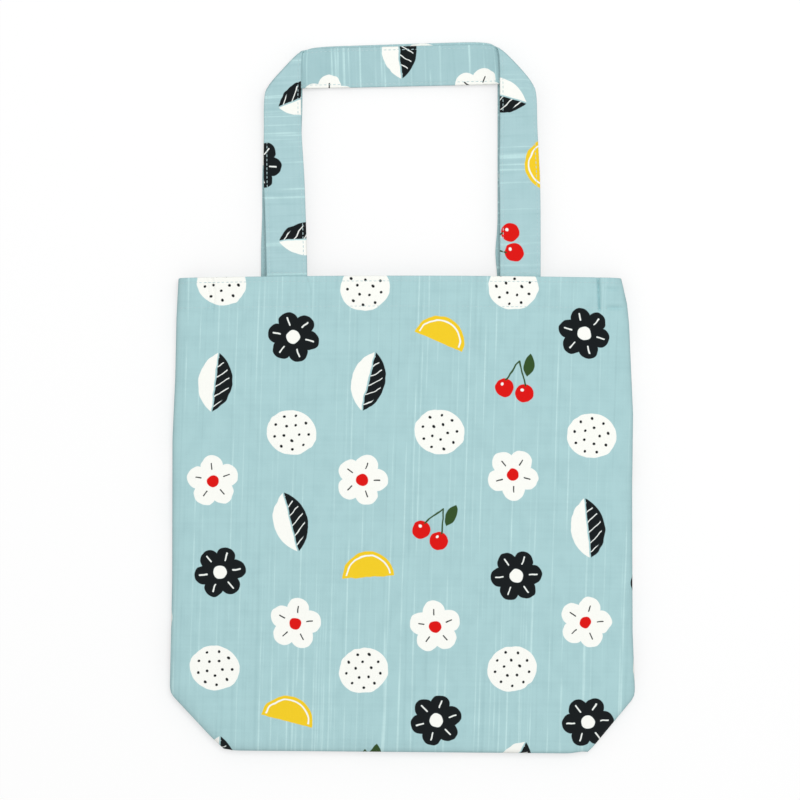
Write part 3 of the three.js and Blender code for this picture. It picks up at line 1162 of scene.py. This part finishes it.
# Floor, light and camera
def looked_at(tree):
    """1 where the picture shows a surface, itself, in gloss or through glass; 0 where it only gives light."""
    path = tree.nodes.new("ShaderNodeLightPath")
    rays = ("Is Camera Ray", "Is Glossy Ray", "Is Transmission Ray")
    seen, in_gloss, through = (Number(tree, path.outputs[ray]) for ray in rays)
    return seen.most(in_gloss).most(through)


def add_floor():
    mesh = bpy.data.meshes.new("floor")
    ways = ((-1, -1), (1, -1), (1, 1), (-1, 1))
    corners = [(x * FLOOR_REACH, y * FLOOR_REACH, FLOOR_Z) for x, y in ways]
    mesh.from_pydata(corners, [], [(0, 1, 2, 3)])
    material, tree, shader = new_material("floor_white")
    shader.inputs["Base Color"].default_value = (FLOOR_GREY, FLOOR_GREY, FLOOR_GREY, 1)
    shader.inputs["Roughness"].default_value = 1.0
    shader.inputs["Specular IOR Level"].default_value = 0.0
    shader.inputs["Emission Color"].default_value = (1, 1, 1, 1)
    glow = looked_at(tree) * (1 - FLOOR_GREY)
    tree.links.new(glow.socket, shader.inputs["Emission Strength"])
    mesh.materials.append(material)
    floor = bpy.data.objects.new("floor", mesh)
    bpy.context.scene.collection.objects.link(floor)


def add_light():
    world = bpy.data.worlds.new("sky")
    world.use_nodes = True
    sky = world.node_tree.nodes["Background"]
    sky.inputs["Color"].default_value = (1, 1, 1, 1)
    strength = looked_at(world.node_tree) * (1 - SKY_SHARE) + SKY_SHARE
    world.node_tree.links.new(strength.socket, sky.inputs["Strength"])
    bpy.context.scene.world = world
    light = bpy.data.lights.new("lamp", "AREA")
    light.shape = "DISK"
    light.size = 2 * LAMP_RADIUS
    away = np.linalg.norm(LAMP_AT)
    toward = np.array(LAMP_AT) / away
    light.energy = math.pi ** 2 * LAMP_SHARE * (away ** 2 + LAMP_RADIUS ** 2) / toward[2]
    lamp = bpy.data.objects.new("lamp", light)
    lamp.location = LAMP_AT
    lamp.rotation_euler = (math.acos(toward[2]), 0, math.atan2(toward[1], toward[0]) + math.pi / 2)
    lamp.visible_camera = False
    bpy.context.scene.collection.objects.link(lamp)


def add_camera():
    middle = PICTURE_PIXELS / 2
    data = bpy.data.cameras.new("camera")
    data.lens = data.sensor_width * CAMERA_DISTANCE / (PICTURE_PIXELS * MM_PER_PIXEL)
    data.clip_end = 10
    camera = bpy.data.objects.new("camera", data)
    x = (middle - PIXEL_OF_X_ZERO) * MM_PER_PIXEL
    y = BOTTOM_Y + (PIXEL_OF_BOTTOM - middle) * MM_PER_PIXEL
    camera.location = (x * MM, y * MM, (MID_Z + CAMERA_DISTANCE) * MM)
    bpy.context.scene.collection.objects.link(camera)
    bpy.context.scene.camera = camera


bpy.context.scene.view_settings.view_transform = "Standard"
add_camera()
add_light()
add_floor()

COTTON = make_cotton("cotton_print", GROUND, 1.0)
STRAP_COTTON = make_cotton("strap_print", STRAP_GROUND, 1.0)
# Painted shade: the strap's underside is made darker than its upper face
STRAP_SHADED_UNDERSIDE = make_cotton("strap_underside_painted_shade", STRAP_SHADED_UNDER, 1.0)
COTTON_INSIDE = make_cotton("cotton_reverse", REVERSE, REVERSE_PRINT)
SEWING_THREAD = make_thread("sewing_thread")

add_back(COTTON, COTTON_INSIDE)
add_front(COTTON, COTTON_INSIDE)
add_hem_stitches(SEWING_THREAD)
add_seams(COTTON_INSIDE, SEWING_THREAD)
for which in (1, -1):
    add_strap(which, STRAP_COTTON, STRAP_SHADED_UNDERSIDE, SEWING_THREAD)

bpy.context.view_layer.update()
